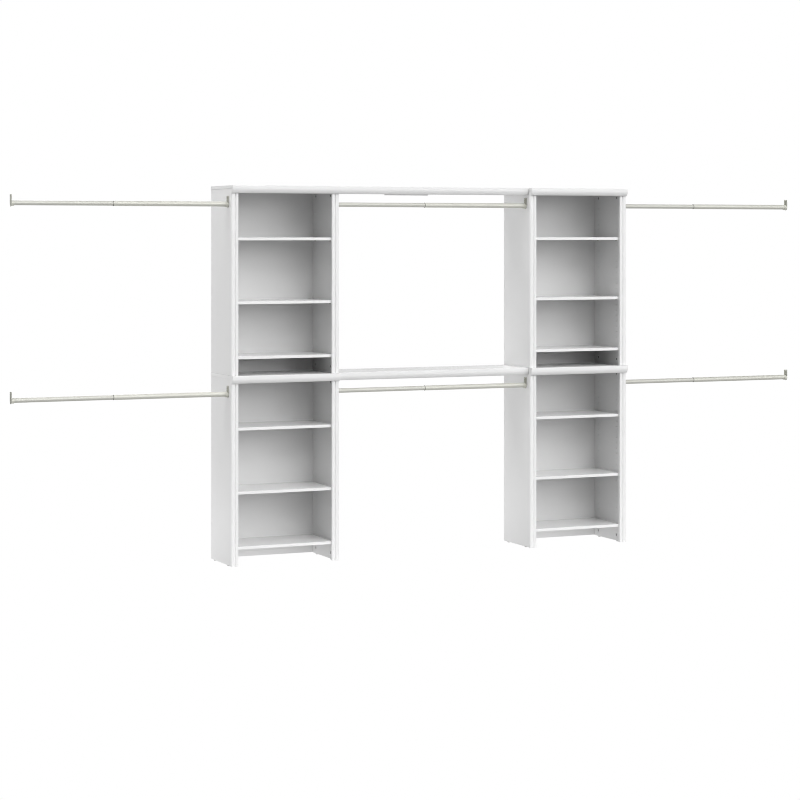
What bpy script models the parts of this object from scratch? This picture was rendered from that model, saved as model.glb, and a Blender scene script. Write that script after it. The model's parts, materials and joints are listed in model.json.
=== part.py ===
"""Closet organiser: two laminate shelf towers, two bridge shelves between them
and six telescoping hanging rods.

Frame: metres, +Z up, floor at Z = 0, -Y is the front, +Y the wall side.
The origin is on the floor, under the centre of the whole unit.
"""
import math

import bmesh
import bpy
from mathutils import Matrix

# ------------------------------------------------------------------ sizes
GAP = 0.0003              # air left between pieces that touch

TOWER_W = 0.636           # outer width of a tower, over its stiles
SECTION_H = 1.045         # one section: side panels plus the board on top
BOARD_T = 0.018           # top and middle boards
PANEL_T = 0.0163          # side panels
PANEL_INSET = 0.0035      # panel's outer face behind the stile's outer edge
BOARD_INSET = 0.0020      # board's end behind the stile's outer edge
NOSING_END = 0.0020       # a tower's nosing ends this far beyond its right stile
SHELF_T = 0.016
BACK_T = 0.004
REAR = 0.351              # stile front to the wall
CROWN_OUT = 0.0195        # the nosing stands this far in front of the stiles
NOSING_H = 0.0425
NOSING_FACE = 0.015       # upright part of the nosing before its curve starts
NOSING_TURN = 55.0        # degrees that its curve turns back from upright

STILE_W = 0.0410
STILE_T = 0.0184
STILE_EDGE_R = 0.0028
GROOVE_W = 0.0084         # the groove between the stile's two reeds
GROOVE_D = 0.0052
GROOVE_X = 0.0222         # its middle from the stile's outer edge
REED_CROWN = 0.0009       # how far a reed's middle stands proud of its edges

SHELF_FRONT = 0.0195      # shelf's front edge behind the stile front
SHELF_Z = (0.0895, 0.3915, 0.7425)   # shelf undersides above the section's foot
SHELF_LIFT = 0.192        # six steps of the 32 mm pin row

BAY_LEFT = 1.212          # left wall to the left tower
BAY_MID = 1.201           # between the towers
BAY_RIGHT = 1.166         # right tower to the right wall
BRIDGE_FRONT = 0.024      # bridge shelf's front behind the stile front

FOOT = 0.005              # side's lower edge above the floor, on its glides
GLIDE_R = 0.0079
GLIDE_Y = (0.078, 0.300)
BACK_FOOT = 0.002

CLEAT_T = 0.016
WALL_CLEAT_L = 0.272
WALL_CLEAT_H = 0.0240
WALL_CLEAT_X = 0.0350     # offset of the wall cleat from the bay's middle
END_CLEAT_H = 0.0195
END_CLEAT_Y = (0.110, 0.330)

ROD_Y = 0.067             # rod axis behind the stile front
ROD_Z = 0.9425            # rod axis above the section's foot
OUTER_R = 0.0140
OUTER_BORE_R = 0.0130
INNER_R = 0.0127
INNER_BORE_R = 0.0116
OUTER_L = {"left": 0.649, "middle": 0.644, "right": 0.660}
INNER_L = 0.640
TUBE_SIDES = 28

PLATE_T = 0.005
PLATE_W = 0.034
PLATE_BELOW = 0.0195      # plate edge below the rod axis
PLATE_ABOVE = 0.0460      # plate edge above the rod axis
CUP_DEPTH = 0.012
CUP_WALL = 0.0026
CUP_CLEAR = 0.0004
CUP_LIP = 0.0050          # cup arms rise this far above the rod axis

# ------------------------------------------------------------ derived places
WALL_L = 0.0
LEFT_X = WALL_L + BAY_LEFT
LEFT_X1 = LEFT_X + TOWER_W
RIGHT_X = LEFT_X1 + BAY_MID
RIGHT_X1 = RIGHT_X + TOWER_W
WALL_R = RIGHT_X1 + BAY_RIGHT
OFF_X = -(WALL_L + WALL_R) / 2.0             # brings the middle to X = 0
OFF_Y = -(REAR - CROWN_OUT) / 2.0            # brings the middle to Y = 0


def wx(x):
    return x + OFF_X


def wy(y):
    return y + OFF_Y


# ------------------------------------------------------------ scene set-up
for old in list(bpy.data.objects):
    bpy.data.objects.remove(old, do_unlink=True)

scene = bpy.context.scene
parts = bpy.data.collections.new("closet_tower")
scene.collection.children.link(parts)
tools = bpy.data.collections.new("closet_tower_cutters")
scene.collection.children.link(tools)


def finish(name, colour, roughness, metallic=0.0):
    mat = bpy.data.materials.new(name)
    mat.use_nodes = True
    shader = mat.node_tree.nodes["Principled BSDF"]
    shader.inputs["Base Color"].default_value = (*colour, 1.0)
    shader.inputs["Roughness"].default_value = roughness
    shader.inputs["Metallic"].default_value = metallic
    mat.diffuse_color = (*colour, 1.0)
    return mat


LAMINATE = finish("white_laminate", (0.86, 0.86, 0.85), 0.42)
SHELF_LAMINATE = finish("white_laminate_shelf", (0.85, 0.85, 0.84), 0.45)
BACKING = finish("white_backing_board", (0.80, 0.80, 0.79), 0.60)
CLEAT_PAINT = finish("white_cleat", (0.82, 0.82, 0.81), 0.50)
NICKEL = finish("satin_nickel_tube", (0.66, 0.65, 0.61), 0.30, 1.0)
BRACKET_METAL = finish("satin_nickel_bracket", (0.42, 0.41, 0.36), 0.38, 1.0)


def move_to(obj, collection):
    for home in list(obj.users_collection):
        home.objects.unlink(obj)
    collection.objects.link(obj)


def empty(name, x, y, z, parent=None):
    obj = bpy.data.objects.new(name, None)
    obj.empty_display_size = 0.05
    parts.objects.link(obj)
    obj.location = (x, y, z)
    if parent is not None:
        obj.parent = parent
        obj.matrix_parent_inverse = Matrix.Translation(
            [-c for c in world_place(parent)])
    return obj


def world_place(obj):
    """World location of an unrotated empty."""
    return obj["place"] if "place" in obj else obj.location


def attach(obj, parent):
    """Parent an object and leave it where it stands."""
    if parent is not None:
        obj.parent = parent
        obj.matrix_parent_inverse = Matrix.Translation(
            [-c for c in world_place(parent)])
    return obj


def box(name, x0, x1, y0, y1, z0, z1, mat, collection=None):
    """A board: a cube primitive brought to size, its origin at its centre."""
    bpy.ops.mesh.primitive_cube_add(size=1.0)
    obj = bpy.context.active_object
    obj.name = obj.data.name = name
    obj.data.transform(Matrix.Diagonal((x1 - x0, y1 - y0, z1 - z0, 1.0)))
    obj.location = ((x0 + x1) / 2, (y0 + y1) / 2, (z0 + z1) / 2)
    if mat is not None:
        obj.data.materials.append(mat)
    move_to(obj, collection or parts)
    return obj


def prism(name, outline, axis, lo, hi, mat, collection=None):
    """A flat outline pushed out along Z (plan outline) or along X (side
    outline given as Y, Z), as one welded mesh."""
    crv = bpy.data.curves.new(name, "CURVE")
    crv.dimensions = "2D"
    crv.fill_mode = "BOTH"
    crv.extrude = (hi - lo) / 2.0
    spline = crv.splines.new("POLY")
    spline.points.add(len(outline) - 1)
    for point, (a, b) in zip(spline.points, outline):
        point.co = (a, b, 0.0, 1.0)
    spline.use_cyclic_u = True
    guide = bpy.data.objects.new(name + "_outline", crv)
    scene.collection.objects.link(guide)
    if axis == "Z":
        guide.matrix_world = Matrix.Translation((0, 0, (lo + hi) / 2.0))
    else:
        turn = Matrix(((0, 0, 1, 0), (1, 0, 0, 0), (0, 1, 0, 0), (0, 0, 0, 1)))
        guide.matrix_world = Matrix.Translation(((lo + hi) / 2.0, 0, 0)) @ turn
    bpy.context.view_layer.update()
    graph = bpy.context.evaluated_depsgraph_get()
    mesh = bpy.data.meshes.new_from_object(guide.evaluated_get(graph))
    mesh.name = name
    mesh.transform(guide.matrix_world)
    bpy.data.objects.remove(guide, do_unlink=True)
    bpy.data.curves.remove(crv)
    bm = bmesh.new()
    bm.from_mesh(mesh)
    bmesh.ops.remove_doubles(bm, verts=bm.verts, dist=1e-6)
    bmesh.ops.dissolve_limit(bm, angle_limit=math.radians(0.2),
                             verts=bm.verts, edges=bm.edges)
    bmesh.ops.recalc_face_normals(bm, faces=bm.faces)
    bm.to_mesh(mesh)
    bm.free()
    mesh.materials.clear()
    if mat is not None:
        mesh.materials.append(mat)
    obj = bpy.data.objects.new(name, mesh)
    (collection or parts).objects.link(obj)
    return obj


def boolean(obj, other, operation):
    """Join or cut with a tool object that is left out of the model."""
    other.hide_render = True
    other.display_type = "WIRE"
    mod = obj.modifiers.new(operation.lower(), "BOOLEAN")
    mod.operation = operation
    mod.solver = "EXACT"
    mod.object = other
    return mod


# ------------------------------------------------------------ outlines
def arc(cx, cy, rx, ry, a0, a1, steps):
    """Points of an elliptical arc, angles in degrees."""
    pts = []
    for i in range(steps + 1):
        a = math.radians(a0 + (a1 - a0) * i / steps)
        pts.append((cx + rx * math.cos(a), cy + ry * math.sin(a)))
    return pts


def reed_front():
    """Front of the stile as (across, depth) from its outer edge to its inner
    edge: two shallow reeds with rounded outer corners and a groove between."""
    half_groove = GROOVE_W / 2.0
    r = STILE_EDGE_R
    pts = arc(r, r + REED_CROWN, r, r, 180.0, 270.0, 4)
    lip = GROOVE_X - half_groove
    for i in range(1, 6):
        t = i / 6.0
        pts.append((r + (lip - r) * t, REED_CROWN * (2.0 * t - 1.0) ** 2))
    for i in range(9):
        t = i / 8.0
        curve = max(0.0, math.sin(math.pi * t)) ** 0.75
        pts.append((lip + GROOVE_W * t,
                    REED_CROWN + (GROOVE_D - REED_CROWN) * curve))
    lip += GROOVE_W
    for i in range(1, 6):
        t = i / 6.0
        pts.append((lip + (STILE_W - r - lip) * t,
                    REED_CROWN * (2.0 * t - 1.0) ** 2))
    pts += arc(STILE_W - r, r + REED_CROWN, r, r, 270.0, 360.0, 4)
    return pts


def side_plan(x_outer, inward):
    """Plan of a side panel with its bonded stile. inward is +1 where the
    tower lies to +X of this side, -1 where it lies to -X."""
    pts = list(reed_front())
    pts += [
        (STILE_W, STILE_T),
        (PANEL_INSET + PANEL_T, STILE_T),
        (PANEL_INSET + PANEL_T, REAR - BACK_T - GAP),
        (PANEL_INSET, REAR - BACK_T - GAP),
        (PANEL_INSET, STILE_T),
        (0.0, STILE_T),
    ]
    return [(wx(x_outer + inward * u), wy(v)) for u, v in pts]


def nosed_board(front, top):
    """Side outline (Y, Z) of a board with its nosing: a small round at the
    upper edge, an upright face, then a convex curve running back."""
    r = 0.0020
    back_of_nosing = front + CROWN_OUT - 0.0005
    curve = (NOSING_H - NOSING_FACE) / math.sin(math.radians(NOSING_TURN))
    pts = [(REAR, top), (REAR, top - BOARD_T),
           (back_of_nosing, top - BOARD_T), (back_of_nosing, top - NOSING_H)]
    pts += arc(front + curve, top - NOSING_FACE, curve, curve,
               180.0 + NOSING_TURN, 180.0, 10)
    pts += arc(front + r, top - r, r, r, 180.0, 90.0, 4)
    return [(wy(y), z) for y, z in pts]


# ------------------------------------------------------------ one tower
def build_side(tower, level, hand, x_outer, inward, parent):
    base = FOOT + level * SECTION_H
    lower = level == 0
    z0 = base if lower else base + GAP
    z1 = base + SECTION_H - BOARD_T - GAP
    name = "%s_tower_%s_side_%s" % (tower, ("lower", "upper")[level], hand)
    side = prism(name, side_plan(x_outer, inward), "Z", z0, z1, LAMINATE)
    if lower:
        # it stands on two glides nailed into the panel's lower edge
        for i, y in enumerate(GLIDE_Y):
            bpy.ops.mesh.primitive_cylinder_add(
                vertices=16, radius=GLIDE_R, depth=FOOT + 0.004)
            glide = bpy.context.active_object
            glide.name = glide.data.name = "%s_glide_%d" % (name, i + 1)
            glide.location = (
                wx(x_outer + inward * (PANEL_INSET + PANEL_T / 2.0)),
                wy(y), (FOOT + 0.004) / 2.0)
            move_to(glide, tools)
            boolean(side, glide, "UNION")
    attach(side, parent)
    return side


def build_tower(tower, x0):
    x1 = x0 + TOWER_W
    frame = empty("%s_tower" % tower, wx((x0 + x1) / 2.0), 0.0, 0.0)
    inner_l = x0 + PANEL_INSET + PANEL_T + GAP
    inner_r = x1 - PANEL_INSET - PANEL_T - GAP
    for level in (0, 1):
        word = ("lower", "upper")[level]
        base = FOOT + level * SECTION_H
        build_side(tower, level, "l", x0, 1.0, frame)
        build_side(tower, level, "r", x1, -1.0, frame)

        top = base + SECTION_H
        board = prism("%s_tower_%s_board" % (tower, ("mid", "top")[level]),
                      nosed_board(-CROWN_OUT, top), "X",
                      wx(x0), wx(x1 + NOSING_END), LAMINATE)
        # behind the stiles the board is a little narrower than its nosing
        for hand, xa, xb in (("l", x0 - 0.010, x0 + BOARD_INSET),
                             ("r", x1 - BOARD_INSET, x1 + 0.010)):
            boolean(board, box("%s_notch_%s" % (board.name, hand),
                               wx(xa), wx(xb), wy(STILE_T), wy(REAR + 0.01),
                               top - 0.05, top + 0.01, None, tools),
                    "DIFFERENCE")
        attach(board, frame)

        back_z0 = base + (BACK_FOOT if level == 0 else GAP)
        back = box("%s_tower_%s_back" % (tower, word),
                   wx(x0 + PANEL_INSET + 0.001), wx(x1 - PANEL_INSET - 0.001),
                   wy(REAR - BACK_T), wy(REAR),
                   back_z0, top - BOARD_T - GAP, BACKING)
        attach(back, frame)

        for row, z in enumerate(SHELF_Z):
            z0 = base + z
            if row == 0:
                name = "%s_tower_%s_base_shelf" % (tower, word)
            else:
                name = "%s_tower_%s_shelf_%d" % (tower, word, row)
            shelf = box(name, wx(inner_l), wx(inner_r),
                        wy(SHELF_FRONT), wy(REAR - BACK_T - 2 * GAP),
                        z0, z0 + SHELF_T, SHELF_LAMINATE)
            attach(shelf, frame)
    return frame


build_tower("left", LEFT_X)
build_tower("right", RIGHT_X)

# ------------------------------------------------------------ bridge shelves
bridge_x0 = LEFT_X1 - BOARD_INSET + GAP
bridge_x1 = RIGHT_X + BOARD_INSET - GAP
bay_middle = (LEFT_X1 + RIGHT_X) / 2.0
for level, word in enumerate(("mid", "top")):
    top = FOOT + (level + 1) * SECTION_H
    frame = empty("%s_bridge" % word, wx(bay_middle), 0.0, top)
    shelf = prism("bridge_%s_shelf" % word, nosed_board(BRIDGE_FRONT, top),
                  "X", wx(bridge_x0), wx(bridge_x1), LAMINATE)
    attach(shelf, frame)
    under = top - BOARD_T - GAP
    cx = bay_middle - WALL_CLEAT_X
    cleat = box("bridge_%s_wall_cleat" % word,
                wx(cx - WALL_CLEAT_L / 2), wx(cx + WALL_CLEAT_L / 2),
                wy(REAR - CLEAT_T), wy(REAR),
                under - WALL_CLEAT_H, under, CLEAT_PAINT)
    attach(cleat, frame)
    for hand, xa, xb in (
            ("l", LEFT_X1 - PANEL_INSET + GAP,
             LEFT_X1 - PANEL_INSET + GAP + CLEAT_T),
            ("r", RIGHT_X + PANEL_INSET - GAP - CLEAT_T,
             RIGHT_X + PANEL_INSET - GAP)):
        end = box("bridge_%s_end_cleat_%s" % (word, hand),
                  wx(xa), wx(xb), wy(END_CLEAT_Y[0]), wy(END_CLEAT_Y[1]),
                  under - END_CLEAT_H, under, CLEAT_PAINT)
        attach(end, frame)


# ------------------------------------------------------------ hanging rods
def tube(name, x0, x1, z, radius, bore, mat):
    """A straight tube along X, open at both ends."""
    ring = []
    for rad in (radius, bore):
        ring.append([(wy(ROD_Y) + rad * math.cos(2 * math.pi * i / TUBE_SIDES),
                      z + rad * math.sin(2 * math.pi * i / TUBE_SIDES))
                     for i in range(TUBE_SIDES)])
    bm = bmesh.new()
    loops = []
    for x in (x0, x1):
        for pts in ring:
            loops.append([bm.verts.new((wx(x), y, zz)) for y, zz in pts])
    outer0, bore0, outer1, bore1 = loops
    for i in range(TUBE_SIDES):
        j = (i + 1) % TUBE_SIDES
        bm.faces.new((outer0[i], outer0[j], outer1[j], outer1[i]))
        bm.faces.new((bore0[j], bore0[i], bore1[i], bore1[j]))
        bm.faces.new((outer0[j], outer0[i], bore0[i], bore0[j]))
        bm.faces.new((outer1[i], outer1[j], bore1[j], bore1[i]))
    bmesh.ops.recalc_face_normals(bm, faces=bm.faces)
    mesh = bpy.data.meshes.new(name)
    bm.to_mesh(mesh)
    bm.free()
    mesh.materials.append(mat)
    mesh.shade_smooth()
    mesh.set_sharp_from_angle(angle=math.radians(35))
    # the origin goes onto the tube's own axis, where it slides
    centre = (wx((x0 + x1) / 2.0), wy(ROD_Y), z)
    mesh.transform(Matrix.Translation([-c for c in centre]))
    obj = bpy.data.objects.new(name, mesh)
    obj.location = centre
    parts.objects.link(obj)
    return obj


def bracket(name, x_back, toward, z, tube_r):
    """Rod bracket: a tall rounded plate against an upright face, with an
    open-topped cup round the rod's end. toward is +1 where the rod leaves
    towards +X, -1 towards -X."""
    xa, xb = sorted((x_back, x_back + toward * PLATE_T))
    half = PLATE_W / 2.0
    yc = wy(ROD_Y)
    corner = 0.006
    outline = arc(yc, z, half, PLATE_BELOW, 180.0, 360.0, 16)
    outline += arc(yc + half - corner, z + PLATE_ABOVE - corner,
                   corner, corner, 0.0, 90.0, 4)
    outline += arc(yc - half + corner, z + PLATE_ABOVE - corner,
                   corner, corner, 90.0, 180.0, 4)
    plate = prism(name, outline, "X", wx(xa), wx(xb), BRACKET_METAL)
    inner = tube_r + CUP_CLEAR
    outer = inner + CUP_WALL
    lip = z + CUP_LIP
    cup_line = [(yc - inner, lip), (yc - outer, lip)]
    cup_line += arc(yc, z, outer, outer, 180.0, 360.0, 20)
    cup_line += [(yc + outer, lip), (yc + inner, lip)]
    cup_line += arc(yc, z, inner, inner, 360.0, 180.0, 20)
    ca, cb = sorted((x_back + toward * PLATE_T * 0.5,
                     x_back + toward * (PLATE_T + CUP_DEPTH)))
    cup = prism(name + "_cup", cup_line, "X", wx(ca), wx(cb), None, tools)
    boolean(plate, cup, "UNION")
    return plate


def rod(bay, x_left, x_right, moving):
    """One bay's two rods. The thin tube is on the left, the wide one on the
    right. moving names what slides: 'left', 'inner' or 'right'."""
    for level, word in enumerate(("lower", "upper")):
        z = FOOT + level * SECTION_H + ROD_Z
        start = x_left + PLATE_T + GAP
        stop = x_right - PLATE_T - GAP
        frame = empty("rod_%s_%s" % (bay, word), wx(stop), wy(ROD_Y), z)
        slide = empty("rod_%s_%s_slide" % (bay, word), wx(start), wy(ROD_Y), z)
        inner = tube("rod_%s_%s_inner" % (bay, word), start, start + INNER_L,
                     z, INNER_R, INNER_BORE_R, NICKEL)
        outer = tube("rod_%s_%s_outer" % (bay, word), stop - OUTER_L[bay], stop,
                     z, OUTER_R, OUTER_BORE_R, NICKEL)
        left = bracket("bracket_%s_%s_l" % (bay, word), x_left, 1.0, z, INNER_R)
        right = bracket("bracket_%s_%s_r" % (bay, word), x_right, -1.0, z,
                        OUTER_R)
        groups = {"left": ((inner, left), (outer, right)),
                  "inner": ((inner,), (outer, left, right)),
                  "right": ((outer, right), (inner, left))}
        sliding, still = groups[moving]
        for obj in sliding:
            attach(obj, slide)
        for obj in still:
            attach(obj, frame)


bpy.context.view_layer.update()
rod("left", WALL_L, LEFT_X + PANEL_INSET - GAP, "left")
rod("middle", LEFT_X1 - PANEL_INSET + GAP, RIGHT_X + PANEL_INSET - GAP, "inner")
rod("right", RIGHT_X1 - PANEL_INSET + GAP, WALL_R, "right")
bpy.context.view_layer.update()
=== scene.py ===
"""Looks of the closet organiser: laminate towers, bridge shelves and rods."""

import json
import math

import bmesh
import bpy
from mathutils import Matrix, Vector


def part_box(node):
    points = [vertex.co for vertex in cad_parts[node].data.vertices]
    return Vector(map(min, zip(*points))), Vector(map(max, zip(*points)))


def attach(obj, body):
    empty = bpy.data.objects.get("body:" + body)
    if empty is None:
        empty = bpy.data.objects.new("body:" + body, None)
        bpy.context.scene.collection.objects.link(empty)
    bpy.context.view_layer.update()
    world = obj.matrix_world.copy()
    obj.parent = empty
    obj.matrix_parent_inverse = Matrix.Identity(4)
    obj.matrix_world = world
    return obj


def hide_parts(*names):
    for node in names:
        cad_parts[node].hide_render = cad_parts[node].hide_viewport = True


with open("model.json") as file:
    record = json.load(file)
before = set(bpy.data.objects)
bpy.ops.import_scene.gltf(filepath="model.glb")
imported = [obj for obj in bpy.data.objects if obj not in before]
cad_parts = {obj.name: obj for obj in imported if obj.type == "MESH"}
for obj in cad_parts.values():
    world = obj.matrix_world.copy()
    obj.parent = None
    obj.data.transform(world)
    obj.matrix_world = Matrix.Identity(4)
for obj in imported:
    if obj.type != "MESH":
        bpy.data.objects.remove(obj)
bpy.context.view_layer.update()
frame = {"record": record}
scene = bpy.context.scene
ROOT = "closet_frame"
body_of = {n: b for b, ns in frame["record"]["behaviour"]["bodies"].items()
           for n in ns}

# ------------------------------------------------------------------ sizes (m)
TOWERS = ("left", "right")
LEVELS = ("lower", "upper")
BAYS = ("left", "middle", "right")
BOARD_T = 0.018
PANEL_T = 0.0163
PANEL_INSET = 0.0035
NOSING_H = 0.0425
NOSING_FACE = 0.015
NOSING_TURN = 50.0             # degrees the nosing's curve turns back
CROWN_OUT = 0.0195
STILE_W = 0.0410
STILE_T = 0.0184
STILE_EDGE_R = 0.0028
GROOVE_W = 0.0084
GROOVE_D = 0.0052
GROOVE_X = 0.0222              # groove's middle from the stile's outer edge
REED_CROWN = 0.0009
FOOT = 0.005                  # the sides' lower edge above the floor
BOARD_INSET = 0.0020
NOSING_END = 0.0020
END_EASE = 0.0008
SECTION_H = 1.045
GLIDE_Y = (0.078, 0.300)
HOLE_Y = (0.078, 0.300)       # hole rows, behind the stile front
CAM_FROM_END = 0.034
CAM_R = 0.0075
PIN_R = 0.0025
PIN_PITCH = 0.032
ROD_Y = 0.067
PLATE_T = 0.005

STILE_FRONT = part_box("left_tower_lower_side_l")[0].y


# ------------------------------------------------------------------ camera
cam_data = bpy.data.cameras.new("camera")
cam = bpy.data.objects.new("camera", cam_data)
scene.collection.objects.link(cam)
TURN = math.radians(23.9578)
cam.location = (-5.3653, STILE_FRONT - 11.6126, 1.8269)
cam.rotation_euler = (math.radians(90.0), 0.0, -TURN)
cam_data.lens = 2246.75 / 800.0 * 36.0
cam_data.sensor_width = 36.0
cam_data.shift_x = 0.00020
cam_data.shift_y = -0.20730
cam_data.clip_start = 0.1
cam_data.clip_end = 200.0
scene.camera = cam


# ------------------------------------------------------------------ materials
def new_material(name):
    mat = bpy.data.materials.new(name)
    mat.use_nodes = True
    tree = mat.node_tree
    return mat, tree.nodes, tree.links, tree.nodes["Principled BSDF"]


def surface_noise(nodes, links, scale, detail=2.0, rough=0.5, stretch=(1, 1, 1)):
    coord = nodes.new("ShaderNodeTexCoord")
    mapping = nodes.new("ShaderNodeMapping")
    mapping.inputs["Scale"].default_value = stretch
    noise = nodes.new("ShaderNodeTexNoise")
    noise.inputs["Scale"].default_value = scale
    noise.inputs["Detail"].default_value = detail
    noise.inputs["Roughness"].default_value = rough
    links.new(coord.outputs["Object"], mapping.inputs["Vector"])
    links.new(mapping.outputs["Vector"], noise.inputs["Vector"])
    return noise.outputs["Fac"]


def ramp(nodes, links, source, low, high, a=0.35, b=0.65):
    node = nodes.new("ShaderNodeValToRGB")
    node.color_ramp.elements[0].position = a
    node.color_ramp.elements[0].color = (*low, 1.0)
    node.color_ramp.elements[1].position = b
    node.color_ramp.elements[1].color = (*high, 1.0)
    links.new(source, node.inputs["Fac"])
    return node.outputs["Color"]


def spread(nodes, links, source, low, high):
    node = nodes.new("ShaderNodeMapRange")
    node.inputs["To Min"].default_value = low
    node.inputs["To Max"].default_value = high
    links.new(source, node.inputs["Value"])
    return node.outputs["Result"]


def bump(nodes, links, source, strength, distance, before=None):
    node = nodes.new("ShaderNodeBump")
    node.inputs["Strength"].default_value = strength
    node.inputs["Distance"].default_value = distance
    links.new(source, node.inputs["Height"])
    if before is not None:
        links.new(before, node.inputs["Normal"])
    return node.outputs["Normal"]


def laminate(name, tone, rough=(0.36, 0.46), peel=0.05, along=(1, 1, 1)):
    """White melamine: an even tone with the faintest clouding, a fine pressed
    texture and a satin gloss that varies a little."""
    mat, nodes, links, shader = new_material(name)
    cloud = surface_noise(nodes, links, 7.0, 3.0, 0.55, along)
    low = tuple(c * 0.992 for c in tone)
    links.new(ramp(nodes, links, cloud, low, tone), shader.inputs["Base Color"])
    fleck = surface_noise(nodes, links, 260.0, 2.0, 0.6, along)
    links.new(spread(nodes, links, fleck, *rough), shader.inputs["Roughness"])
    fine = surface_noise(nodes, links, 900.0, 3.0, 0.6, along)
    wave = surface_noise(nodes, links, 22.0, 1.0, 0.5)
    first = bump(nodes, links, wave, 0.012, 0.0012)
    links.new(bump(nodes, links, fine, peel, 0.0004, first),
              shader.inputs["Normal"])
    shader.inputs["Specular IOR Level"].default_value = 0.45
    return mat


def metal(name, tone, rough, metallic=1.0, streak=(2.0, 160.0, 160.0),
          strength=0.06, clouding=0.93):
    """Satin-plated metal with fine drawn streaks."""
    mat, nodes, links, shader = new_material(name)
    lines = surface_noise(nodes, links, 6.0, 4.0, 0.65, streak)
    low = tuple(c * clouding for c in tone)
    links.new(ramp(nodes, links, lines, low, tone, 0.3, 0.7),
              shader.inputs["Base Color"])
    links.new(spread(nodes, links, lines, rough - 0.05, rough + 0.06),
              shader.inputs["Roughness"])
    links.new(bump(nodes, links, lines, strength, 0.0002),
              shader.inputs["Normal"])
    shader.inputs["Metallic"].default_value = metallic
    return mat


def moulded(name, tone, rough, scale=500.0):
    """Moulded plastic with a faint grain."""
    mat, nodes, links, shader = new_material(name)
    grain = surface_noise(nodes, links, scale, 3.0, 0.6)
    low = tuple(c * 0.95 for c in tone)
    links.new(ramp(nodes, links, grain, low, tone), shader.inputs["Base Color"])
    links.new(spread(nodes, links, grain, rough - 0.04, rough + 0.05),
              shader.inputs["Roughness"])
    links.new(bump(nodes, links, grain, 0.08, 0.0003), shader.inputs["Normal"])
    return mat


WHITE = laminate("white_melamine", (0.860, 0.860, 0.860))
STILE_FOIL = laminate("white_stile_foil", (0.880, 0.880, 0.880),
                      rough=(0.32, 0.40), peel=0.02, along=(1, 1, 0.08))
CROWN_FOIL = laminate("white_crown_foil", (0.880, 0.880, 0.880),
                      rough=(0.32, 0.40), peel=0.02, along=(0.08, 1, 1))
EDGE_BAND = laminate("white_edge_band", (0.890, 0.890, 0.890),
                     rough=(0.30, 0.37), peel=0.015, along=(0.1, 1, 1))
SHELF_FACE = laminate("white_shelf_melamine", (0.930, 0.930, 0.930),
                      rough=(0.17, 0.25), peel=0.03)
BOARD_FACE = laminate("white_board_melamine", (0.910, 0.910, 0.910),
                      rough=(0.20, 0.28), peel=0.03)
END_BAND = laminate("white_end_band", (0.890, 0.890, 0.890),
                    rough=(0.44, 0.54), peel=0.05)
BACKING = laminate("white_backing_paper", (0.840, 0.840, 0.840),
                   rough=(0.55, 0.66), peel=0.10)
CLEAT = laminate("white_cleat_foil", (0.860, 0.860, 0.860),
                 rough=(0.45, 0.55), peel=0.06)
NICKEL = metal("satin_nickel_tube", (0.655, 0.655, 0.605), 0.52,
               metallic=0.32, streak=(2.0, 160.0, 160.0), strength=0.04,
               clouding=0.95)
NICKEL_WIDE = metal("satin_nickel_wide_tube", (0.690, 0.690, 0.632), 0.50,
                    metallic=0.34, streak=(2.0, 170.0, 170.0), strength=0.04,
                    clouding=0.95)
BRACKET = metal("satin_nickel_casting", (0.340, 0.345, 0.295), 0.46,
                metallic=0.5, streak=(60.0, 60.0, 60.0), strength=0.08,
                clouding=0.90)
# the plate's edge: the same satin nickel casting painted lighter, a painted
# highlight where the edge catches the light
BRACKET_PAINTED_HIGHLIGHT = metal("satin_nickel_edge_painted_highlight", (0.560, 0.560, 0.515), 0.48,
                     metallic=0.30, streak=(60.0, 60.0, 60.0), strength=0.06,
                     clouding=0.92)
# the cup: the same satin nickel painted lighter, painted light standing in for
# light from below on its underside
CUP_PAINTED_UNDERLIGHT = metal("satin_nickel_cup_painted_underlight", (0.740, 0.740, 0.665), 0.50,
            metallic=0.18, streak=(60.0, 60.0, 60.0), strength=0.05,
            clouding=0.94)
ZINC = metal("zinc_casting", (0.330, 0.330, 0.325), 0.42,
             streak=(90.0, 90.0, 90.0), strength=0.12, clouding=0.85)
SCREW = metal("nickel_screw", (0.560, 0.550, 0.500), 0.32,
              streak=(120.0, 120.0, 120.0), strength=0.05)
NYLON = moulded("grey_nylon", (0.115, 0.113, 0.102), 0.48)
GLIDE = moulded("pale_glide", (0.620, 0.620, 0.600), 0.42)


# ------------------------------------------------------------------ mesh tools
def obj_from_bm(name, bm, mats, smooth=True, angle=35.0):
    bmesh.ops.recalc_face_normals(bm, faces=bm.faces)
    mesh = bpy.data.meshes.new(name)
    bm.to_mesh(mesh)
    bm.free()
    for m in mats:
        mesh.materials.append(m)
    if smooth:
        mesh.shade_smooth()
        mesh.set_sharp_from_angle(angle=math.radians(angle))
    obj = bpy.data.objects.new(name, mesh)
    scene.collection.objects.link(obj)
    return obj


def weighted(obj):
    mod = obj.modifiers.new("weighted", "WEIGHTED_NORMAL")
    mod.keep_sharp = True
    mod.weight = 80
    return obj


def place(obj, body, slot, *nodes):
    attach(obj, body)
    if nodes:
        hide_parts(*nodes)
    return obj


def arc(cx, cy, rx, ry, a0, a1, steps):
    pts = []
    for i in range(steps + 1):
        a = math.radians(a0 + (a1 - a0) * i / steps)
        pts.append((cx + rx * math.cos(a), cy + ry * math.sin(a)))
    return pts


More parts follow.
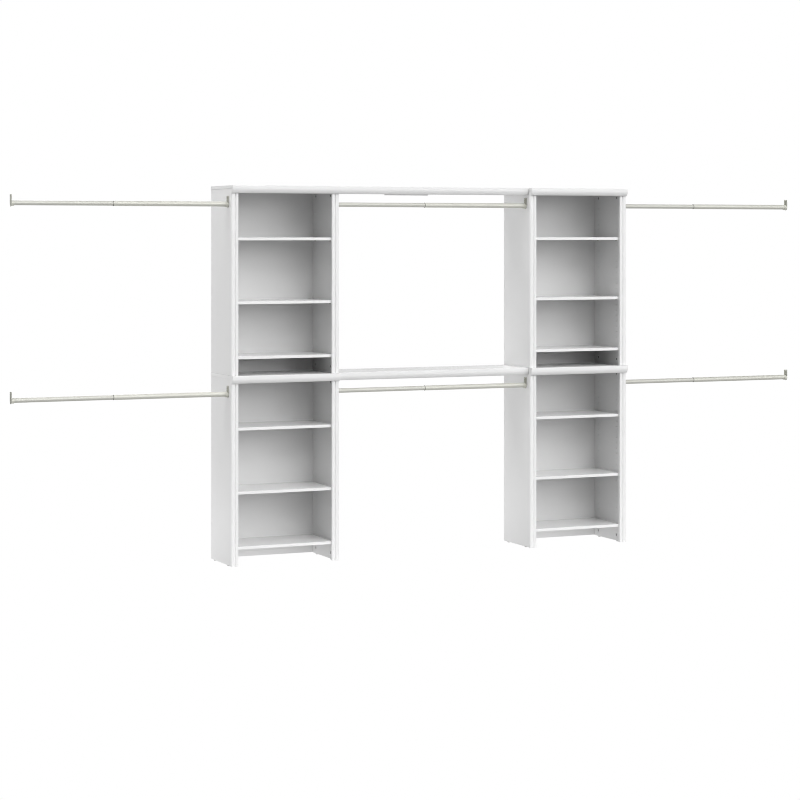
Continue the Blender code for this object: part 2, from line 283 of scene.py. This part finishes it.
def softened(points, radius, steps=3, closed=True):
    """An outline with each sharp corner given a small round. An open one keeps
    its two ends as they are."""
    out = []
    n = len(points)
    for i in range(n):
        if not closed and i in (0, n - 1):
            out.append(tuple(points[i]))
            continue
        p0, p, p1 = (Vector(points[i - 1]), Vector(points[i]),
                     Vector(points[(i + 1) % n]))
        a, b = (p0 - p), (p1 - p)
        if a.length < 1e-9 or b.length < 1e-9:
            continue
        turn = a.angle(b)
        if turn > math.radians(150.0) or min(a.length, b.length) < 2.2 * radius:
            out.append(tuple(p))
            continue
        a.normalize(); b.normalize()
        for k in range(steps + 1):
            t = k / steps
            q = (p + a * radius * (1 - t) ** 2 + b * radius * t ** 2)
            out.append(tuple(q))
    return out


def prism(bm, outline, axis, lo, hi, mat_side=0, mat_cap=0):
    """Pushes a closed outline out along an axis. 'Z' takes (x, y) points and
    'X' takes (y, z) points."""
    def at(p, w):
        return (p[0], p[1], w) if axis == "Z" else (w, p[0], p[1])
    low = [bm.verts.new(at(p, lo)) for p in outline]
    high = [bm.verts.new(at(p, hi)) for p in outline]
    n = len(outline)
    for i in range(n):
        j = (i + 1) % n
        f = bm.faces.new((low[i], low[j], high[j], high[i]))
        f.material_index = mat_side
    for ring in (low[::-1], high):
        f = bm.faces.new(ring)
        f.material_index = mat_cap
    return low, high


def eased_post(bm, outline, lo, hi, ease):
    """Stands a closed (x, y) outline up along Z with both ends eased off."""
    n = len(outline)
    area = sum(outline[i - 1][0] * outline[i][1] - outline[i][0] * outline[i - 1][1]
               for i in range(n))
    turn = 1.0 if area > 0 else -1.0
    inner = []
    for i in range(n):
        a, b = Vector(outline[i - 1]), Vector(outline[(i + 1) % n])
        along = (b - a).normalized()
        inner.append((outline[i][0] - turn * along.y * ease,
                      outline[i][1] + turn * along.x * ease))
    rings = [[bm.verts.new((x, y, z)) for x, y in line]
             for line, z in ((inner, lo), (outline, lo + ease),
                             (outline, hi - ease), (inner, hi))]
    for a, b in zip(rings, rings[1:]):
        for i in range(n):
            j = (i + 1) % n
            bm.faces.new((a[i], a[j], b[j], b[i]))
    bm.faces.new(rings[0][::-1])
    bm.faces.new(rings[-1])


def bevelled_box(bm, lo, hi, width=0.0007, segments=2):
    made = bmesh.ops.create_cube(bm, size=1.0)["verts"]
    size = [h - l for l, h in zip(lo, hi)]
    mid = [(h + l) / 2 for l, h in zip(lo, hi)]
    for v in made:
        v.co = Vector([v.co[i] * size[i] + mid[i] for i in range(3)])
    edges = {e for v in made for e in v.link_edges}
    bmesh.ops.bevel(bm, geom=list(edges), offset=width, segments=segments,
                    profile=0.5, affect="EDGES")


def plain_box(bm, lo, hi):
    made = bmesh.ops.create_cube(bm, size=1.0)["verts"]
    for v in made:
        v.co = Vector([v.co[i] * (hi[i] - lo[i]) + (hi[i] + lo[i]) / 2
                       for i in range(3)])


def turned(bm, profile, centre, axis, sides=48, closed=False):
    """Turns (along, radius) points about an axis through centre. closed joins
    the last ring to the first, as for a tube; otherwise the ends are capped."""
    axis = Vector(axis).normalized()
    u = axis.orthogonal().normalized()
    v = axis.cross(u)
    rings = []
    for along, radius in profile:
        c = Vector(centre) + axis * along
        if radius < 1e-7:
            rings.append([bm.verts.new(c)])
        else:
            rings.append([bm.verts.new(
                c + u * radius * math.cos(2 * math.pi * i / sides)
                + v * radius * math.sin(2 * math.pi * i / sides))
                for i in range(sides)])
    pairs = list(zip(rings, rings[1:]))
    if closed:
        pairs.append((rings[-1], rings[0]))
    for a, b in pairs:
        for i in range(sides):
            j = (i + 1) % sides
            if len(a) == 1 and len(b) == 1:
                continue
            if len(a) == 1:
                bm.faces.new((a[0], b[i], b[j]))
            elif len(b) == 1:
                bm.faces.new((a[i], a[j], b[0]))
            else:
                bm.faces.new((a[i], a[j], b[j], b[i]))
    if not closed:
        for ring in (rings[0], rings[-1]):
            if len(ring) > 1:
                bm.faces.new(ring)


def cut(obj, cutter):
    """Cuts obj with a tool object, applies the cut and removes the tool."""
    mod = obj.modifiers.new("cut", "BOOLEAN")
    mod.operation = "DIFFERENCE"
    mod.solver = "EXACT"
    mod.object = cutter
    bpy.context.view_layer.update()
    graph = bpy.context.evaluated_depsgraph_get()
    mesh = bpy.data.meshes.new_from_object(obj.evaluated_get(graph))
    obj.modifiers.clear()
    old = obj.data
    obj.data = mesh
    bpy.data.meshes.remove(old)
    bpy.data.objects.remove(cutter, do_unlink=True)
    return obj


# ------------------------------------------------------------------ side panels
def reed_front(fine=8):
    half = GROOVE_W / 2.0
    r = STILE_EDGE_R
    pts = arc(r, r + REED_CROWN, r, r, 180.0, 270.0, 8)
    reed = GROOVE_X - half - r
    for i in range(1, fine):
        t = i / fine
        pts.append((r + reed * t, REED_CROWN * (2.0 * t - 1.0) ** 2))
    for i in range(17):
        t = i / 16.0
        pts.append((GROOVE_X - half + GROOVE_W * t,
                    REED_CROWN + (GROOVE_D - REED_CROWN)
                    * max(0.0, math.sin(math.pi * t)) ** 0.75))
    reed = STILE_W - r - GROOVE_X - half
    for i in range(1, fine):
        t = i / fine
        pts.append((GROOVE_X + half + reed * t,
                    REED_CROWN * (2.0 * t - 1.0) ** 2))
    pts += arc(STILE_W - r, r + REED_CROWN, r, r, 270.0, 360.0, 8)
    return pts


def pin_heights(base):
    """Heights of the shelf-pin holes in one section."""
    first = base + 0.391 - PIN_R - 7 * PIN_PITCH
    return [first + i * PIN_PITCH for i in range(25)]


def side_panel(tower, level, hand):
    node = "%s_tower_%s_side_%s" % (tower, level, hand)
    lo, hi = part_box(node)
    inward = 1.0 if hand == "l" else -1.0
    x_outer = lo.x if hand == "l" else hi.x
    base = FOOT + LEVELS.index(level) * SECTION_H
    rear = hi.y

    def plan(points):
        return [(x_outer + inward * u, STILE_FRONT + v) for u, v in points]

    # the stile, wrapped in foil, runs the whole height
    z0 = FOOT if level == "lower" else lo.z
    stile = list(reed_front())
    stile += softened([(STILE_W, 0.012), (STILE_W, STILE_T), (0.0, STILE_T),
                       (0.0, 0.012)], 0.0008, closed=False)
    bm = bmesh.new()
    eased_post(bm, plan(stile), z0, hi.z, END_EASE)
    stile_obj = obj_from_bm("stile_%s_%s_%s" % (tower, level, hand), bm,
                            [STILE_FOIL], angle=28.0)
    weighted(stile_obj)
    place(stile_obj, ROOT, "side_laminate")

    # the panel behind it, with its rows of holes
    edge = 0.0006
    ring = softened([(PANEL_INSET, STILE_T), (PANEL_INSET + PANEL_T, STILE_T),
                     (PANEL_INSET + PANEL_T, rear - STILE_FRONT),
                     (PANEL_INSET, rear - STILE_FRONT)], edge)
    bm = bmesh.new()
    eased_post(bm, plan(ring), z0, hi.z, END_EASE)
    panel = obj_from_bm("side_panel_%s_%s_%s" % (tower, level, hand), bm,
                        [WHITE], smooth=False)
    x_in = x_outer + inward * (PANEL_INSET + PANEL_T)
    bm = bmesh.new()
    for y in HOLE_Y:
        for z in pin_heights(base):
            turned(bm, [(0.0005, PIN_R + 0.0007), (0.0, PIN_R + 0.0002),
                        (-0.0002, PIN_R), (-0.0105, PIN_R),
                        (-0.0115, 0.0)],
                   (x_in, STILE_FRONT + y, z), (inward, 0, 0), 16)
        for z in (base + CAM_FROM_END, hi.z - CAM_FROM_END):
            turned(bm, [(0.0006, CAM_R + 0.0009), (0.0, CAM_R + 0.0003),
                        (-0.0004, CAM_R), (-0.0125, CAM_R), (-0.0130, 0.0)],
                   (x_in, STILE_FRONT + y, z), (inward, 0, 0), 32)
    tool = obj_from_bm("hole_tool", bm, [WHITE], smooth=False)
    cut(panel, tool)
    panel.data.shade_flat()
    place(panel, ROOT, "side_laminate", node)

    # cam discs lie a little below the face; the feet have glides
    bm = bmesh.new()
    heights = [hi.z - CAM_FROM_END]
    if level == "upper":
        heights.append(base + CAM_FROM_END)
    for y in HOLE_Y:
        for z in heights:
            cam_disc(bm, (x_in - inward * 0.0016, STILE_FRONT + y, z), inward)
    discs = obj_from_bm("cam_discs_%s_%s_%s" % (tower, level, hand), bm,
                        [ZINC], angle=30.0)
    place(discs, ROOT, "nickel_bracket")
    if level == "lower":
        bm = bmesh.new()
        for y in GLIDE_Y:
            x = x_outer + inward * (PANEL_INSET + PANEL_T / 2)
            turned(bm, [(FOOT - 0.0002, 0.0), (FOOT - 0.0002, 0.0072),
                        (FOOT - 0.0009, 0.0079), (0.0016, 0.0079),
                        (0.0005, 0.0074), (0.0, 0.0062), (0.0, 0.0)],
                   (x, STILE_FRONT + y, 0.0), (0, 0, 1), 32)
        glides = obj_from_bm("glides_%s_%s" % (tower, hand), bm, [GLIDE],
                             angle=30.0)
        place(glides, ROOT, "side_laminate")


def cam_disc(bm, centre, inward):
    """A cast disc with a cross slot, seen as a shallow four-armed recess."""
    r = CAM_R - 0.0004
    sides = 48
    c = Vector(centre)
    rim = []
    for i in range(sides):
        a = 2 * math.pi * i / sides
        rim.append((math.cos(a), math.sin(a)))

    def ring(radius, depth):
        return [bm.verts.new(c + Vector((-inward * depth, radius * p[0],
                                         radius * p[1]))) for p in rim]

    def cross(depth, grow=0.0):
        verts = []
        for i, p in enumerate(rim):
            a = 2 * math.pi * i / sides
            near = min(abs((a % (math.pi / 2))), math.pi / 2
                       - (a % (math.pi / 2)))
            radius = (0.0046 if near < 0.20 else 0.0013) - grow
            verts.append(bm.verts.new(c + Vector(
                (-inward * depth, radius * p[0], radius * p[1]))))
        return verts

    rings = [ring(r, 0.0080), ring(r, 0.0004), ring(r - 0.0005, 0.0),
             cross(0.0), cross(0.0018, 0.0003)]
    for a, b in zip(rings, rings[1:]):
        for i in range(sides):
            j = (i + 1) % sides
            bm.faces.new((a[i], a[j], b[j], b[i]))
    bm.faces.new(rings[0])
    bm.faces.new(rings[-1])


for t in TOWERS:
    for level in LEVELS:
        for hand in "lr":
            side_panel(t, level, hand)


# ------------------------------------------------------------------ nosed boards
def nosed_board(name, node, notched):
    """A board with its foil-wrapped nosing. A notched one is a little narrower
    behind the stiles than its nosing is wide. The others reach right up to
    the towers on both sides."""
    lo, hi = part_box(node)
    reach = 0.0 if notched else 0.00025
    r = 0.0022
    front = lo.y
    back_of_nosing = front + CROWN_OUT - 0.0005
    turn = math.radians(NOSING_TURN)
    curve = (NOSING_H - NOSING_FACE) / math.sin(turn)
    recess = curve * (1.0 - math.cos(turn))
    # the foil-wrapped nosing ends on a line 22 mm behind its face
    pts = softened([(front + 0.022, hi.z), (hi.y, hi.z),
                    (hi.y, hi.z - BOARD_T),
                    (back_of_nosing, hi.z - BOARD_T),
                    (back_of_nosing, lo.z),
                    (front + recess, lo.z)], 0.0005, closed=False)[:-1]
    pts += arc(front + curve, hi.z - NOSING_FACE, curve, curve,
               180.0 + NOSING_TURN, 180.0, 20)
    pts += arc(front + r, hi.z - r, r, r, 180.0, 90.0, 6)
    bm = bmesh.new()
    prism(bm, pts, "X", lo.x - reach, hi.x + reach)
    obj = obj_from_bm(name, bm, [CROWN_FOIL, BOARD_FACE, END_BAND], smooth=False)
    if notched:
        bm = bmesh.new()
        for xa, xb in ((lo.x - 0.01, lo.x + BOARD_INSET),
                       (hi.x - NOSING_END - BOARD_INSET, hi.x + 0.01)):
            plain_box(bm, (xa, STILE_FRONT + STILE_T, lo.z - 0.01),
                      (xb, hi.y + 0.01, hi.z + 0.01))
        cut(obj, obj_from_bm("notch_tool", bm, [CROWN_FOIL], smooth=False))
    bm = bmesh.new()
    bm.from_mesh(obj.data)
    ends = [f for f in bm.faces if abs(f.normal.x) > 0.9]
    rims = {edge for f in ends for edge in f.edges
            if edge.calc_face_angle(0.0) > math.radians(60.0)}
    bmesh.ops.bevel(bm, geom=list(rims), offset=0.0004 if notched else 0.0002,
                    segments=2, profile=0.5, affect="EDGES")
    for f in bm.faces:
        f.material_index = 1 if f.calc_center_median().y > front + 0.0225 else 0
        if abs(f.normal.x) > 0.8:
            f.material_index = 2
    bm.to_mesh(obj.data)
    bm.free()
    obj.data.shade_smooth()
    obj.data.set_sharp_from_angle(angle=math.radians(40.0))
    weighted(obj)
    place(obj, ROOT, "board_laminate", node)
    return obj


for t in TOWERS:
    for where in ("mid", "top"):
        nosed_board("board_%s_%s" % (t, where), "%s_tower_%s_board" % (t, where),
                    True)
for where in ("mid", "top"):
    nosed_board("bridge_board_%s" % where, "bridge_%s_shelf" % where, False)


# ------------------------------------------------------------------ flat boards
def flat_board(name, node, mats, slot, width=0.0007):
    lo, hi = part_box(node)
    bm = bmesh.new()
    bevelled_box(bm, lo, hi, width)
    for f in bm.faces:
        if len(mats) > 1 and f.normal.y < -0.3:
            f.material_index = 1
    obj = obj_from_bm(name, bm, mats, angle=60.0)
    weighted(obj)
    place(obj, body_of[node], slot, node)
    return obj


for t in TOWERS:
    for level in LEVELS:
        for which in ("base_shelf", "shelf_1", "shelf_2"):
            node = "%s_tower_%s_%s" % (t, level, which)
            flat_board("%s_%s_%s_board" % (t, level, which), node,
                       [SHELF_FACE, EDGE_BAND], "shelf_laminate")
        flat_board("back_%s_%s" % (t, level),
                   "%s_tower_%s_back" % (t, level), [BACKING],
                   "backing_board", 0.0004)
for where in ("mid", "top"):
    for which in ("wall_cleat", "end_cleat_l", "end_cleat_r"):
        flat_board("%s_%s_strip" % (where, which),
                   "bridge_%s_%s" % (where, which), [CLEAT],
                   "cleat_laminate", 0.0010)


# ------------------------------------------------------------------ fasteners
def make_screw_head(radius=0.0038, height=0.0021):
    """Mesh of a pan-head screw, head up along +Z, with a cross recess."""
    bm = bmesh.new()
    prof = [(-0.0004, 0.0), (-0.0004, radius)]
    for i in range(7):
        a = math.radians(90.0 * i / 6)
        prof.append((height * math.sin(a) * 0.92 + 0.0002,
                     radius * (0.35 + 0.65 * math.cos(a))))
    prof.append((prof[-1][0], 0.0))
    turned(bm, prof, (0, 0, 0), (0, 0, 1), 32)
    head = obj_from_bm("screw_master", bm, [SCREW], angle=40.0)
    for k in range(2):
        bm = bmesh.new()
        long, wide = radius * 0.62, radius * 0.13
        size = (long, wide) if k == 0 else (wide, long)
        made = bmesh.ops.create_cube(bm, size=1.0)["verts"]
        for v in made:
            taper = 1.0 if v.co.z > 0 else 0.6
            v.co = Vector((v.co.x * 2 * size[0] * taper,
                           v.co.y * 2 * size[1] * taper,
                           height * 0.75 + v.co.z * height * 0.9))
        cut(head, obj_from_bm("screw_tool", bm, [SCREW], smooth=False))
    mesh = head.data
    bm = bmesh.new()
    bm.from_mesh(mesh)
    bmesh.ops.remove_doubles(bm, verts=bm.verts, dist=0.00001)
    bmesh.ops.dissolve_degenerate(bm, dist=0.00001, edges=bm.edges)
    bm.to_mesh(mesh)
    bm.free()
    mesh.shade_smooth()
    mesh.set_sharp_from_angle(angle=math.radians(40))
    bpy.data.objects.remove(head, do_unlink=True)
    return mesh


SCREW_MESH = make_screw_head()


def screws(name, spots, body, slot):
    """One object holding screw heads at (point, direction) spots."""
    bm = bmesh.new()
    for n, (point, direction) in enumerate(spots):
        part = bmesh.new()
        part.from_mesh(SCREW_MESH)
        turn = Vector(direction).to_track_quat("Z", "Y").to_matrix().to_4x4()
        spin = Matrix.Rotation(0.5 + 1.1 * n, 4, "Z")
        bmesh.ops.transform(part, matrix=Matrix.Translation(point) @ turn @ spin,
                            verts=part.verts)
        mesh = bpy.data.meshes.new("part")
        part.to_mesh(mesh)
        part.free()
        bm.from_mesh(mesh)
        bpy.data.meshes.remove(mesh)
    obj = obj_from_bm(name, bm, [SCREW], angle=40.0)
    return place(obj, body, slot)


# shelf pins under each adjustable shelf; they stay in the sides when it lifts
for t in TOWERS:
    for level in LEVELS:
        for k in (1, 2):
            lo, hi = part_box("%s_tower_%s_shelf_%d" % (t, level, k))
            bm = bmesh.new()
            for x, inward in ((lo.x - 0.0003, 1.0), (hi.x + 0.0003, -1.0)):
                for y in HOLE_Y:
                    turned(bm, [(-0.0095, 0.0), (-0.0095, 0.0019),
                                (-0.0088, 0.00235), (0.0, 0.00235),
                                (0.0, 0.0034), (0.0012, 0.0034),
                                (0.0012, 0.0024), (0.0078, 0.0024),
                                (0.0086, 0.0018), (0.0086, 0.0)],
                           (x, STILE_FRONT + y, lo.z - PIN_R - 0.0010),
                           (inward, 0, 0), 20)
            pins = obj_from_bm("pins_%s_%s_shelf_%d" % (t, level, k), bm,
                               [SCREW], angle=30.0)
            place(pins, ROOT, "nickel_bracket")

# cam discs on the underside of each fixed base shelf
for t in TOWERS:
    for level in LEVELS:
        lo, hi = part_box("%s_tower_%s_base_shelf" % (t, level))
        bm = bmesh.new()
        for x in (lo.x + 0.034, hi.x - 0.034):
            for y in HOLE_Y:
                turned(bm, [(0.0006, 0.0), (0.0006, CAM_R - 0.0008),
                            (0.0002, CAM_R), (-0.0006, CAM_R), (-0.0006, 0.0)],
                       (x, STILE_FRONT + y, lo.z), (0, 0, -1), 40)
        obj = obj_from_bm("base_cams_%s_%s" % (t, level), bm, [ZINC],
                          angle=30.0)
        place(obj, ROOT, "nickel_bracket")

# nails along the edges of the back boards
for t in TOWERS:
    for level in LEVELS:
        lo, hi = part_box("%s_tower_%s_back" % (t, level))
        bm = bmesh.new()
        spots = []
        rows = 8
        for i in range(rows):
            z = lo.z + 0.03 + (hi.z - lo.z - 0.06) * i / (rows - 1)
            spots += [(lo.x + 0.007, z), (hi.x - 0.007, z)]
        for i in range(1, 5):
            x = lo.x + (hi.x - lo.x) * i / 5
            base = FOOT + LEVELS.index(level) * SECTION_H
            spots.append((x, base + 0.0975))
        for x, z in spots:
            turned(bm, [(-0.001, 0.0012), (0.0, 0.0030), (0.0004, 0.0032),
                        (0.0007, 0.0026), (0.0008, 0.0)],
                   (x, hi.y, z), (0, 1, 0), 20)
        obj = obj_from_bm("back_nails_%s_%s" % (t, level), bm, [SCREW],
                          angle=30.0)
        place(obj, ROOT, "nickel_bracket")

# screws of the cleats
for where in ("mid", "top"):
    lo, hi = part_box("bridge_%s_wall_cleat" % where)
    zc = (lo.z + hi.z) / 2
    screws("%s_wall_cleat_screws" % where,
           [((lo.x + f * (hi.x - lo.x), lo.y, zc), (0, -1, 0))
            for f in (0.14, 0.5, 0.86)], ROOT, "nickel_bracket")
    for hand, sign in (("l", 1.0), ("r", -1.0)):
        lo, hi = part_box("bridge_%s_end_cleat_%s" % (where, hand))
        x = hi.x if sign > 0 else lo.x
        zc = (lo.z + hi.z) / 2
        screws("%s_end_cleat_%s_screws" % (where, hand),
               [((x, lo.y + f * (hi.y - lo.y), zc), (sign, 0, 0))
                for f in (0.12, 0.5, 0.88)], ROOT, "nickel_bracket")


# ------------------------------------------------------------------ rods
def tube(name, node, wall, rolled_left):
    lo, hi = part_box(node)
    r = (hi.z - lo.z) / 2
    centre = ((lo.x + hi.x) / 2, (lo.y + hi.y) / 2, (lo.z + hi.z) / 2)
    h = (hi.x - lo.x) / 2
    q = 0.0005
    profile = [(-h, r - q), (-h + 0.2 * q, r - 0.3 * q), (-h + q, r)]
    n = 12
    profile += [(-h + q + (2 * h - 2 * q) * i / n, r) for i in range(1, n)]
    profile += [(h - q, r), (h - 0.2 * q, r - 0.3 * q), (h, r - q),
                (h, r - wall + q * 0.4), (h - q, r - wall)]
    profile += [(-h + q, r - wall), (-h, r - wall + q * 0.4)]
    bm = bmesh.new()
    turned(bm, profile, centre, (1, 0, 0), 72, closed=True)
    obj = obj_from_bm(name, bm, [NICKEL_WIDE if rolled_left else NICKEL],
                      angle=50.0)
    weighted(obj)
    place(obj, body_of[node], "nickel_tube", node)
    if rolled_left:
        # the bush in the wide tube's mouth, with a lip over the tube's end
        bm = bmesh.new()
        turned(bm, [(-0.0008, r - wall - 0.0001), (-0.0010, r - 0.0007),
                    (-0.0008, r - 0.0001), (-0.0004, r + 0.0003),
                    (0.0013, r + 0.0003), (0.0015, r + 0.0001),
                    (0.0015, r + 0.00002), (-0.0001, r + 0.00002),
                    (-0.0001, r - wall - 0.0001)],
               (lo.x, centre[1], centre[2]), (1, 0, 0), 72, closed=True)
        bush = obj_from_bm(name + "_bush", bm, [NYLON], angle=40.0)
        place(bush, body_of[node], "nickel_bracket")
    return obj


def rod_bracket(bay, level, hand):
    node = "bracket_%s_%s_%s" % (bay, level, hand)
    lo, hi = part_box(node)
    toward = 1.0 if hand == "l" else -1.0
    back = lo.x if hand == "l" else hi.x
    tube_node = "rod_%s_%s_%s" % (bay, level, "inner" if hand == "l" else "outer")
    tlo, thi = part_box(tube_node)
    r = (thi.z - tlo.z) / 2
    yc, zc = (tlo.y + thi.y) / 2, (tlo.z + thi.z) / 2
    half = (hi.y - lo.y) / 2
    below, above = zc - lo.z, hi.z - zc
    corner = 0.006

    def plate_line(shrink):
        h = half - shrink
        c = max(corner - shrink, 0.0008)
        pts = arc(yc, zc, h, below - shrink, 180.0, 360.0, 36)
        pts += arc(yc + h - c, hi.z - shrink - c, c, c, 0.0, 90.0, 8)
        pts += arc(yc - h + c, hi.z - shrink - c, c, c, 90.0, 180.0, 8)
        return pts

    # plate: an upright edge and a face that swells gently to its middle; the edge
    # rings wear a lighter copy of the casting, a painted highlight
    rings = [(0.0, 0.0002), (0.0002, 0.0), (0.0018, 0.0), (0.0027, 0.0006),
             (0.0033, 0.0019), (0.0039, 0.0043), (0.0044, 0.0072),
             (0.0048, 0.0105), (0.0050, 0.0138)]
    bm = bmesh.new()
    loops = []
    for depth, shrink in rings:
        loops.append([bm.verts.new((back + toward * depth, y, z))
                      for y, z in plate_line(shrink)])
    n = len(loops[0])
    for k, (a, b) in enumerate(zip(loops, loops[1:])):
        for i in range(n):
            j = (i + 1) % n
            f = bm.faces.new((a[i], a[j], b[j], b[i]))
            # the first five rings, the upright edge and rim, take the painted
            # highlight
            f.material_index = 1 if k < 5 else 0
    bm.faces.new(loops[0])
    bm.faces.new(loops[-1])
    plate = obj_from_bm("plate_%s_%s_%s" % (bay, level, hand), bm,
                        [BRACKET, BRACKET_PAINTED_HIGHLIGHT], angle=35.0)
    place(plate, body_of[node], "nickel_bracket", node)

    # cup: an open-topped collar with a rounded mouth, in a lighter copy of the
    # satin nickel that paints in light from below
    inner, outer = r + 0.0004, r + 0.0030
    lip = 0.005
    start = math.degrees(math.asin(lip / outer))
    start_in = math.degrees(math.asin(lip / inner))

    def cup_line(grow):
        pts = [(yc - math.sqrt((outer + grow) ** 2 - lip ** 2), zc + lip)]
        pts += arc(yc, zc, outer + grow, outer + grow, 180.0, 360.0, 36)
        pts += [(yc + math.sqrt((outer + grow) ** 2 - lip ** 2), zc + lip)]
        pts += [(yc + math.sqrt((inner - grow) ** 2 - lip ** 2), zc + lip)]
        pts += arc(yc, zc, inner - grow * 0.3, inner - grow * 0.3, 360.0,
                   180.0, 36)
        pts += [(yc - math.sqrt((inner - grow) ** 2 - lip ** 2), zc + lip)]
        return pts

    del start, start_in
    deep = (hi.x - lo.x) - 0.0001
    bm = bmesh.new()
    loops = []
    for depth, grow in ((0.0012, 0.0004), (deep - 0.0022, 0.0),
                        (deep - 0.0016, 0.0003), (deep - 0.0004, 0.0003),
                        (deep, -0.0002)):
        loops.append([bm.verts.new((back + toward * depth, y, z))
                      for y, z in cup_line(grow)])
    n = len(loops[0])
    for a, b in zip(loops, loops[1:]):
        for i in range(n):
            j = (i + 1) % n
            bm.faces.new((a[i], a[j], b[j], b[i]))
    bm.faces.new(loops[0])
    bm.faces.new(loops[-1])
    cup = obj_from_bm("cup_%s_%s_%s" % (bay, level, hand), bm, [CUP_PAINTED_UNDERLIGHT],
                      angle=40.0)
    place(cup, body_of[node], "nickel_bracket")
    screws("screws_%s_%s_%s" % (bay, level, hand),
           [((back + toward * (PLATE_T - 0.0005), yc, zc + dz),
             (toward, 0, 0)) for dz in (0.0225, 0.0370)],
           body_of[node], "nickel_bracket")


for bay in BAYS:
    for level in LEVELS:
        tube("thin_tube_%s_%s" % (bay, level),
             "rod_%s_%s_inner" % (bay, level), 0.0011, False)
        tube("wide_tube_%s_%s" % (bay, level),
             "rod_%s_%s_outer" % (bay, level), 0.0010, True)
        for hand in "lr":
            rod_bracket(bay, level, hand)


# ------------------------------------------------------------------ stage
def seen_and_lit(nodes, links, seen, lit):
    """Shows one shader to the camera and lights the object with another."""
    path = nodes.new("ShaderNodeLightPath")
    mix = nodes.new("ShaderNodeMixShader")
    links.new(path.outputs["Is Camera Ray"], mix.inputs["Fac"])
    links.new(lit, mix.inputs[1])
    links.new(seen, mix.inputs[2])
    return mix.outputs["Shader"]


def make_floor(bounce, behind):
    """A pale studio floor that glows softly, as a light table does, and more
    so behind the object."""
    bm = bmesh.new()
    bmesh.ops.create_grid(bm, x_segments=2, y_segments=2, size=60.0)
    obj = obj_from_bm("floor", bm, [], smooth=False)
    obj.location = (0.0, 0.0, -0.0004)
    mat = bpy.data.materials.new("pale_floor")
    mat.use_nodes = True
    nodes, links = mat.node_tree.nodes, mat.node_tree.links
    nodes.clear()
    out = nodes.new("ShaderNodeOutputMaterial")
    seen = nodes.new("ShaderNodeEmission")
    seen.inputs["Color"].default_value = (1, 1, 1, 1)
    seen.inputs["Strength"].default_value = 1.0
    lit = nodes.new("ShaderNodeEmission")
    lit.inputs["Color"].default_value = (1, 1, 1, 1)
    coord = nodes.new("ShaderNodeTexCoord")
    mapping = nodes.new("ShaderNodeMapping")
    mapping.inputs["Location"].default_value = (0.0, -2.0 / 1.2, 0.0)
    mapping.inputs["Scale"].default_value = (1.0 / 2.5, 1.0 / 1.2, 0.0)
    links.new(coord.outputs["Object"], mapping.inputs["Vector"])
    square = nodes.new("ShaderNodeVectorMath")
    square.operation = "DOT_PRODUCT"
    links.new(mapping.outputs["Vector"], square.inputs[0])
    links.new(mapping.outputs["Vector"], square.inputs[1])
    half = nodes.new("ShaderNodeMath")
    half.operation = "MULTIPLY"
    half.inputs[1].default_value = -0.5
    links.new(square.outputs["Value"], half.inputs[0])
    fall = nodes.new("ShaderNodeMath")
    fall.operation = "EXPONENT"
    links.new(half.outputs["Value"], fall.inputs[0])
    glow = nodes.new("ShaderNodeMath")
    glow.operation = "MULTIPLY_ADD"
    glow.inputs[1].default_value = behind
    glow.inputs[2].default_value = bounce
    links.new(fall.outputs["Value"], glow.inputs[0])
    links.new(glow.outputs["Value"], lit.inputs["Strength"])
    links.new(seen_and_lit(nodes, links, seen.outputs[0], lit.outputs[0]),
              out.inputs["Surface"])
    obj.data.materials.append(mat)
    return obj


def studio_world(level):
    """White surroundings that give a little even light."""
    world = bpy.data.worlds.new("studio")
    scene.world = world
    world.use_nodes = True
    nodes, links = world.node_tree.nodes, world.node_tree.links
    nodes.clear()
    out = nodes.new("ShaderNodeOutputWorld")
    seen = nodes.new("ShaderNodeBackground")
    seen.inputs["Color"].default_value = (1, 1, 1, 1)
    lit = nodes.new("ShaderNodeBackground")
    lit.inputs["Color"].default_value = (1, 1, 1, 1)
    lit.inputs["Strength"].default_value = level
    links.new(seen_and_lit(nodes, links, seen.outputs[0], lit.outputs[0]),
              out.inputs["Surface"])


def far_softbox(name, height, side, strength, spread_deg=34.0):
    """A wide, distant soft light: height above the horizon and degrees to the
    right of straight in front."""
    data = bpy.data.lights.new(name, "SUN")
    data.energy = strength
    data.angle = math.radians(spread_deg)
    obj = bpy.data.objects.new(name, data)
    e, a = math.radians(height), math.radians(side)
    toward = Vector((math.cos(e) * math.sin(a), -math.cos(e) * math.cos(a),
                     math.sin(e)))
    obj.rotation_euler = toward.to_track_quat("Z", "Y").to_euler()
    obj.location = toward * 12.0
    scene.collection.objects.link(obj)
    return obj


make_floor(0.35, 1.40)
studio_world(0.04)
far_softbox("front_low", 4.0, 30.0, 0.95)
far_softbox("front_low_right", 4.0, 60.0, 0.38)
far_softbox("front_middle", 20.0, 0.0, 0.53)
far_softbox("front_middle_left", 20.0, -60.0, 0.22)
far_softbox("front_high", 40.0, 0.0, 0.84)
far_softbox("front_top", 62.0, 0.0, 0.76)
far_softbox("left_high", 40.0, -90.0, 1.06)
far_softbox("left_rear", 4.0, -150.0, 0.66)
far_softbox("right_rear", 4.0, 155.0, 0.12)
far_softbox("rear_high", 40.0, 180.0, 1.45)
scene.cycles.diffuse_bounces = 2
scene.cycles.filter_width = 1.0

scene.view_settings.view_transform = "Standard"
scene.view_settings.look = "None"
scene.view_settings.exposure = 0.0
scene.view_settings.gamma = 1.0
